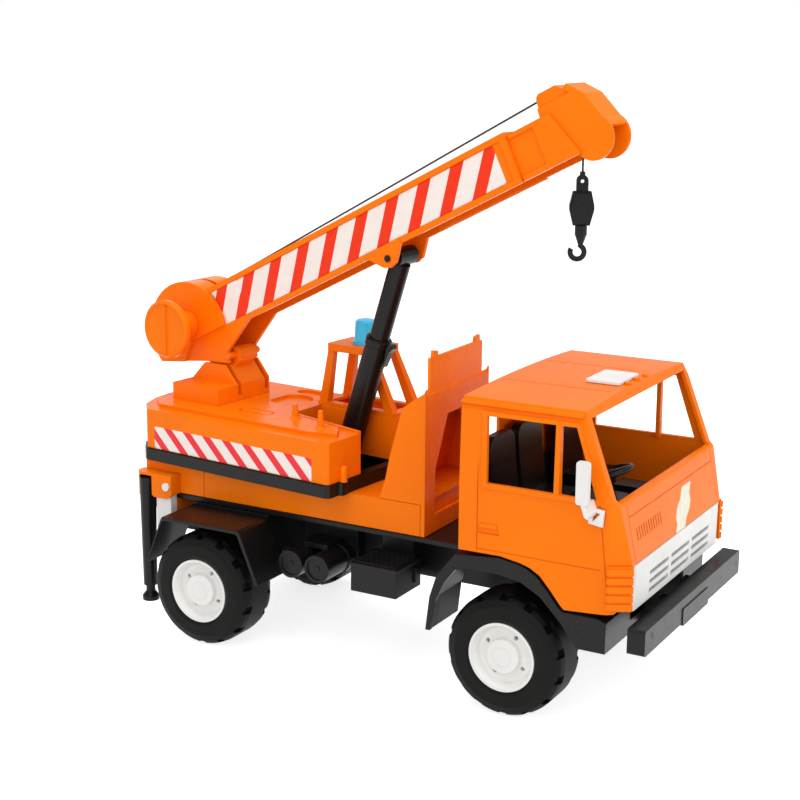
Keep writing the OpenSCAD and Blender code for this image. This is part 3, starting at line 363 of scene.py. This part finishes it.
def grid_piece(name, points, material, uv=None, closed=False):
    """A surface from a (rows, columns, 3) array: neighbours make quads; closed joins the last column to the first
    and caps the first and last row with one face each."""
    rows, cols = points.shape[:2]
    index = np.arange(rows * cols).reshape(rows, cols)
    if closed:
        index = np.hstack([index, index[:, :1]])
    quads = np.stack([index[:-1, :-1], index[:-1, 1:], index[1:, 1:], index[1:, :-1]], axis=-1)
    faces = quads.reshape(-1, 4).tolist()
    if closed:
        faces += [index[0, :cols][::-1].tolist(), index[-1, :cols].tolist()]
    mesh = bpy.data.meshes.new(name)
    mesh.from_pydata(points.reshape(-1, 3).tolist(), [], faces)
    if uv is not None:
        corner = np.empty(len(mesh.loops), dtype=np.int32)
        mesh.loops.foreach_get("vertex_index", corner)
        layer = mesh.uv_layers.new(name="UVMap")
        layer.data.foreach_set("uv", uv.reshape(-1, 2)[corner].astype(np.float32).ravel())
    mesh.polygons.foreach_set("use_smooth", np.ones(len(mesh.polygons), dtype=bool))
    mesh.update()
    piece = bpy.data.objects.new(name, mesh)
    bpy.context.scene.collection.objects.link(piece)
    piece.data.materials.append(material)
    return piece


def smooth_route(knots, count):
    """Catmull-Rom curve through the knots, resampled at equal steps of length."""
    k = np.asarray(knots, float)
    k = np.vstack([2 * k[0] - k[1], k, 2 * k[-1] - k[-2]])
    t = np.linspace(0, 1, 24, endpoint=False)[:, None]
    spans = [0.5 * (2 * b + (c - a) * t + (2 * a - 5 * b + 4 * c - d) * t ** 2 + (3 * b - a - 3 * c + d) * t ** 3)
             for a, b, c, d in zip(k[:-3], k[1:-2], k[2:-1], k[3:])]
    line = np.vstack([*spans, k[-2][None]])
    length = np.concatenate([[0], np.cumsum(np.linalg.norm(np.diff(line, axis=0), axis=1))])
    at = np.linspace(0, length[-1], count)
    return np.stack([np.interp(at, length, line[:, i]) for i in range(3)], axis=1)


def twisted_tube(name, route, radius, pitch, side, material, strands=3, around=18):
    """A laid cord: a circle carried along the route, its radius r (0.84 + 0.16 |cos(strands twist / 2)|), where
    twist is the angle less 2 pi l / pitch, so each lobe is one strand winding with the length l."""
    step = np.gradient(route, axis=0)
    tangent = step / np.linalg.norm(step, axis=1, keepdims=True)
    side = np.asarray(side, float)
    across = side - (tangent @ side)[:, None] * tangent
    across /= np.linalg.norm(across, axis=1, keepdims=True)
    other = np.cross(tangent, across)
    length = np.concatenate([[0], np.cumsum(np.linalg.norm(np.diff(route, axis=0), axis=1))])
    angle = np.linspace(0, 2 * np.pi, around, endpoint=False)
    twist = angle[None, :] - (2 * np.pi * length / pitch)[:, None]
    r = radius * (0.84 + 0.16 * np.abs(np.cos(strands * twist / 2)))
    points = (route[:, None, :] + (r * np.cos(angle))[..., None] * across[:, None, :]
              + (r * np.sin(angle))[..., None] * other[:, None, :])
    uv = np.stack(np.broadcast_arrays(np.linspace(0, 1, around)[None, :], length[:, None]), axis=-1)
    return grid_piece(name, points, material, uv=uv, closed=True)


def sticker(name, place, along, above, material, body, out=1.0, thick=0.00012, corner=1.6, rows=24, cols=60):
    """A thin film: the grid's two parameters run along and above the face, both in millimetres, the corners are
    rounded by pulling the ends in as a quarter circle, and Solidify gives it its thickness on the side out."""
    a = np.linspace(0, 1, cols)[None, :]
    b = np.linspace(0, 1, rows)[:, None]
    t = above[0] + (above[1] - above[0]) * b + 0 * a
    lo, hi = along(t)
    near = np.clip(np.minimum(t - above[0], above[1] - t) / corner, 0, 1)
    pull = corner * (1 - np.sqrt(1 - (1 - near) ** 2))
    s = (lo + pull) * (1 - a) + (hi - pull) * a
    piece = grid_piece(name, place(s, t), material, uv=np.stack([s, t], axis=-1))
    solid = piece.modifiers.new("film", "SOLIDIFY")
    solid.thickness = thick
    solid.offset = out
    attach(piece, body)


# ---------- settings ----------

class TruckFinishSettings(bpy.types.PropertyGroup):
    """Colours and gloss of the moulded parts."""
    orange: FloatVectorProperty(name="Orange", description="Main moulding colour", subtype="COLOR", size=3,
                                min=0, max=1, default=(1.0, 0.196, 0.002))
    black: FloatVectorProperty(name="Black", description="Chassis colour", subtype="COLOR", size=3,
                               min=0, max=1, default=(0.0065, 0.0063, 0.0062))
    white: FloatVectorProperty(name="White", description="Rims, grille and mirrors", subtype="COLOR", size=3,
                               min=0, max=1, default=(0.84, 0.835, 0.81))
    blue: FloatVectorProperty(name="Blue", description="Beacon colour", subtype="COLOR", size=3,
                              min=0, max=1, default=(0.06, 0.62, 1.0))
    rough: FloatProperty(name="Roughness", description="Base roughness of the mouldings", default=0.27, min=0, max=1)
    edge: FloatProperty(name="Edge radius", description="Rounding of moulded edges", default=0.0007, min=0,
                        max=0.003, unit="LENGTH")


class TruckStickerSettings(bpy.types.PropertyGroup):
    """Hazard stickers."""
    red: FloatVectorProperty(name="Red", description="Bar colour", subtype="COLOR", size=3, min=0, max=1,
                             default=(0.93, 0.043, 0.012))
    pale: FloatVectorProperty(name="Film", description="Film colour", subtype="COLOR", size=3, min=0, max=1,
                              default=(0.92, 0.83, 0.77))
    badge: FloatVectorProperty(name="Badge", description="Plain badge colour", subtype="COLOR", size=3, min=0, max=1,
                               default=(0.86, 0.82, 0.66))
    house_step: FloatProperty(name="Bar step", description="Millimetres from bar to bar on the housing sticker",
                              default=20.9, min=10, max=40)


class TruckCordSettings(bpy.types.PropertyGroup):
    """Lifting cord."""
    diameter: FloatProperty(name="Diameter", description="Cord thickness", default=0.0016, min=0.0008, max=0.003,
                            unit="LENGTH")
    pitch: FloatProperty(name="Twist", description="Length of one turn of a strand", default=0.0052, min=0.002,
                         max=0.02, unit="LENGTH")


class TruckStageSettings(bpy.types.PropertyGroup):
    """Studio."""
    key: FloatProperty(name="Key lamp", description="Large soft lamp overhead", default=17.0, min=0, unit="POWER")
    fill: FloatProperty(name="Fill lamp", description="Soft lamp on the camera's side", default=12.0, min=0,
                        unit="POWER")
    world: FloatProperty(name="Room light", description="Light from all round", default=0.60, min=0)


# ---------- operators ----------

def settings(name):
    """The scene's settings group of that name."""
    return getattr(bpy.context.scene, name)


class TRUCK_OT_camera(bpy.types.Operator):
    """Puts the camera at the viewing angle"""
    bl_idname = "truck.camera"
    bl_label = "Camera"

    def execute(self, context):
        level = math.cos(CAMERA_PITCH)
        ahead = np.array([level * math.cos(CAMERA_YAW), level * math.sin(CAMERA_YAW), math.sin(CAMERA_PITCH)])
        right = np.array([math.sin(CAMERA_YAW), -math.cos(CAMERA_YAW), 0.0])
        up = np.cross(right, ahead)
        c, n = math.cos(CAMERA_ROLL), math.sin(CAMERA_ROLL)
        right, up = right * c + up * n, up * c - right * n
        lens = bpy.data.cameras.new("camera")
        lens.sensor_width = SENSOR
        lens.lens = LENS
        lens.shift_x, lens.shift_y = SHIFT
        lens.clip_start, lens.clip_end = 0.01, 30.0
        camera = bpy.data.objects.new("camera", lens)
        matrix = np.eye(4)
        matrix[:3] = np.stack([right, up, -ahead, on_truck(*CAMERA_PLACE)], axis=1)
        camera.matrix_world = Matrix(matrix.tolist())
        context.scene.collection.objects.link(camera)
        context.scene.camera = camera
        return {"FINISHED"}


class TRUCK_OT_cords(bpy.types.Operator):
    """Lays the twisted cord along the boom and its hanging part below the boom head, hiding the plain CAD cords"""
    bl_idname = "truck.cords"
    bl_label = "Lifting cord"

    def execute(self, context):
        size = settings("truck_cord")
        black = yarn("cord_yarn", YARN_BLACK)
        knots = np.array(CORD_ROUTE)
        route = smooth_route(on_boom(knots[:, 0], 0.0, knots[:, 1]), 900)
        side = on_crane(0, 1, 0) - on_crane(0, 0, 0)
        run = twisted_tube("cord_run_twisted", route, size.diameter / 2, size.pitch, side / MM, black)
        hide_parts("cord_run")
        start, end = (tuple(on_boom(s, 0, t)) for s, t in CORD_STRETCH)
        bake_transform(run)
        top = on_boom(HOOK_S, 0, HOOK_T) + np.array([0, 0, CORD_TOP * MM])
        line = top + np.linspace(0, 1, 120)[:, None] * np.array([0, 0, -(CORD_TOP + CORD_DROP) * MM])
        drop = twisted_tube("cord_drop_twisted", line, size.diameter / 2, size.pitch, side / MM, black)
        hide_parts("cord_drop")
        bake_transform(drop)
        line[::6].tolist() + [line[-1].tolist()]
        return {"FINISHED"}


FINISHES = {
    "orange_plastic": ["cab_shell", "roof_lamps", "corner_deflectors", "bed_body", "bulkhead", "outrigger_hoods",
                       "housing", "operator_cab", "pedestal", "boom_outer", "boom_inner", "boom_head", "boom_pin",
                       "winch_spool"],
    "white_plastic": ["grille", "roof_hatch", "mirror_right", "arm_right", "arm_left", "arm_pins",
                      "rim_fr", "rim_fl", "rim_rr", "rim_rl"],
    "tyre_black": ["tyre_fr", "tyre_fl", "tyre_rr", "tyre_rl"],
    "axle_steel": ["front_axle", "rear_axle"],
    "beacon_blue": ["beacon"],
}


class TRUCK_OT_finishes(bpy.types.Operator):
    """Gives every moulded part its plastic"""
    bl_idname = "truck.finishes"
    bl_label = "Moulded finishes"

    def execute(self, context):
        look = settings("truck_finish")
        # edge= sets how much lighter the painted edge highlight makes each plastic's edges
        made = {
            "orange_plastic": moulded("orange_plastic", tuple(look.orange), look.rough, look.edge, gloss=0.09),
            "white_plastic": moulded("white_plastic", tuple(look.white), 0.36, look.edge, edge=1.04, dust=0.0),
            "beacon_blue": moulded("beacon_blue", tuple(look.blue), 0.22, look.edge),
            "tyre_black": tyre_plastic("tyre_black", (0.0058, 0.0056, 0.0052)),
            "axle_steel": drawn_steel("axle_steel"),
            # black plastic: edge=2.2 paints bright edge lines as a painted highlight
            "black_plastic": moulded("black_plastic", tuple(look.black), 0.3, look.edge, edge=2.2, dust=0.04,
                                     clouds=0.12, gloss=0.2),
        }
        of_node = {node: name for name, nodes in FINISHES.items() for node in nodes}
        for name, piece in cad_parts.items():
            piece.data.materials.clear()
            piece.data.materials.append(made[of_node.get(name, "black_plastic")])
        return {"FINISHED"}


class TRUCK_OT_stickers(bpy.types.Operator):
    """Puts the striped stickers on boom and housing, and the plain one on the cab front"""
    bl_idname = "truck.stickers"
    bl_label = "Stickers"

    def execute(self, context):
        look = settings("truck_sticker")
        red, pale = tuple(look.red), tuple(look.pale)
        crimson = (red[0], red[1], red[1] * 1.35)
        house = hazard_print("housing_stripes", pale, crimson, look.house_step, *HOUSE_BARS)
        boom = hazard_print("boom_stripes", pale, red, *BOOM_BARS)

        def house_ends(t):
            """Straight ends."""
            return HOUSE_SPAN[0] + 0 * t, HOUSE_SPAN[1] + 0 * t

        def boom_ends(t):
            """Rear end on the circle of the drum's edge, front end straight."""
            along, above, radius = DRUM_EDGE
            return along + np.sqrt(radius ** 2 - (t - above) ** 2), BOOM_END + 0 * t

        for name, side in (("right", -1), ("left", 1)):
            def on_house(s, t, side=side):
                """The housing's flat side."""
                return on_crane(s, side * HOUSE_SIDE, t)

            def on_side(s, t, side=side):
                """The boom's web, stepping out over the cheek plate."""
                return on_boom(s, side * np.where(s < CHEEK_END, CHEEK_SIDE, WEB_SIDE), t)

            sticker("housing_sticker_" + name, on_house, house_ends, HOUSE_BAND, house, "turntable", out=-side)
            sticker("boom_sticker_" + name, on_side, boom_ends, BOOM_BAND, boom, "boom", out=-side, corner=1.0,
                    rows=30, cols=110)

        def on_front(y, z):
            """The cab front's leaning plane."""
            return on_truck(FRONT_PLANE[0] - (z - FRONT_PLANE[1]) * FRONT_PLANE[2], y, z)

        def badge_edges(z):
            """Half width is the wider of the band and an ellipse; the middle slants with the height."""
            h = z - BADGE_MIDDLE[1]
            half = np.maximum(BADGE_HALF, ROUND_HALF * np.sqrt(np.clip(1 - (h / ROUND_HIGH) ** 2, 0, 1)))
            middle = BADGE_MIDDLE[0] + BADGE_SLANT * h
            return middle - half, middle + half

        sticker("front_badge", on_front, badge_edges, BADGE_BAND, plain_film("badge_film", tuple(look.badge)),
                "truck", corner=0.8, rows=90, cols=30)
        return {"FINISHED"}


class TRUCK_OT_stage(bpy.types.Operator):
    """Floor, room light and soft lamps"""
    bl_idname = "truck.stage"
    bl_label = "Studio"

    def execute(self, context):
        look = settings("truck_stage")
        f = Finish("floor_paper")
        seen = f.put("ShaderNodeLightPath", output="Is Camera Ray").maths(
            "MAXIMUM", f.put("ShaderNodeLightPath", output="Is Glossy Ray"))
        grain = f.noise(f.place(), 30.0, 2.0)
        paper = f.put("ShaderNodeBsdfDiffuse", {"Color": f.mix(grain, (0.80, 0.80, 0.80), (0.82, 0.82, 0.82))})
        glow = f.put("ShaderNodeEmission", {"Color": (1, 1, 1), "Strength": seen * 0.75})
        both = f.put("ShaderNodeAddShader", {0: paper, 1: glow})
        f.tree.links.new(both.socket, f.out.inputs["Surface"])
        span = np.linspace(-14.0, 14.0, 15)
        x, y = np.meshgrid(span, span)
        floor = grid_piece("floor", np.stack([x, y, 0 * x - 0.0002], axis=-1), f.material)

        world = bpy.data.worlds.new("room")
        context.scene.world = world
        world.use_nodes = True
        tree = world.node_tree
        tree.nodes.clear()
        out = tree.nodes.new("ShaderNodeOutputWorld")
        path = tree.nodes.new("ShaderNodeLightPath")
        seen = Wire(tree, path.outputs["Is Camera Ray"]).maths(
            "MAXIMUM", Wire(tree, path.outputs["Is Transmission Ray"]))
        sky = tree.nodes.new("ShaderNodeBackground")
        feed(tree, sky.inputs["Color"], (1.0, 1.0, 1.0))
        feed(tree, sky.inputs["Strength"], seen * (1.0 - look.world) + look.world)
        tree.links.new(sky.outputs[0], out.inputs["Surface"])

        lamps = [
            ("lamp_top", (0.1, -0.1, 1.7), (0.0, 0.0, 0.1), 1.8, look.key),
            ("lamp_side", (0.3, -2.2, 1.1), (0.0, 0.0, 0.15), 1.6, look.fill),
            ("lamp_front", (2.1, -0.6, 0.9), (0.0, 0.0, 0.15), 1.2, look.fill * 0.85),
            ("lamp_back", (-1.6, 1.3, 1.2), (0.0, 0.0, 0.2), 1.2, look.fill * 0.35),
        ]
        for name, at, to, size, power in lamps:
            lamp = bpy.data.lights.new(name, "AREA")
            lamp.shape = "SQUARE"
            lamp.size = size
            lamp.energy = power
            thing = bpy.data.objects.new(name, lamp)
            ahead = np.array(to) - np.array(at)
            ahead = ahead / np.linalg.norm(ahead)
            right = np.cross(ahead, (0.02, 0.0, 1.0))
            right /= np.linalg.norm(right)
            matrix = np.eye(4)
            matrix[:3] = np.stack([right, np.cross(right, ahead), -ahead, at], axis=1)
            thing.matrix_world = Matrix(matrix.tolist())
            context.scene.collection.objects.link(thing)
        context.scene.view_settings.view_transform = "Standard"
        return {"FINISHED"}


class TRUCK_PT_panel(bpy.types.Panel):
    """Crane truck panel"""
    bl_idname = "TRUCK_PT_panel"
    bl_label = "Crane truck"
    bl_space_type = "VIEW_3D"
    bl_region_type = "UI"
    bl_category = "Crane truck"

    def draw(self, context):
        layout = self.layout
        for group in GROUPS:
            box = layout.box()
            data = settings(group)
            for key in data.__class__.__annotations__:
                box.prop(data, key)
        for operator in OPERATORS:
            layout.operator(operator.bl_idname)


OPERATORS = (TRUCK_OT_camera, TRUCK_OT_cords, TRUCK_OT_finishes, TRUCK_OT_stickers, TRUCK_OT_stage)
GROUPS = {"truck_finish": TruckFinishSettings, "truck_sticker": TruckStickerSettings,
          "truck_cord": TruckCordSettings, "truck_stage": TruckStageSettings}


def register():
    """Registers the classes and hangs the settings on the scene."""
    for made in (*GROUPS.values(), *OPERATORS, TRUCK_PT_panel):
        bpy.utils.register_class(made)
    for name, group in GROUPS.items():
        setattr(bpy.types.Scene, name, PointerProperty(type=group))


def unregister():
    """Takes the settings and classes away again."""
    for name in GROUPS:
        delattr(bpy.types.Scene, name)
    for made in reversed((*GROUPS.values(), *OPERATORS, TRUCK_PT_panel)):
        bpy.utils.unregister_class(made)


def main():
    register()
    bpy.ops.truck.camera()
    bpy.ops.truck.cords()
    bpy.ops.truck.finishes()
    bpy.ops.truck.stickers()
    bpy.ops.truck.stage()


if __name__ == "__main__":
    main()
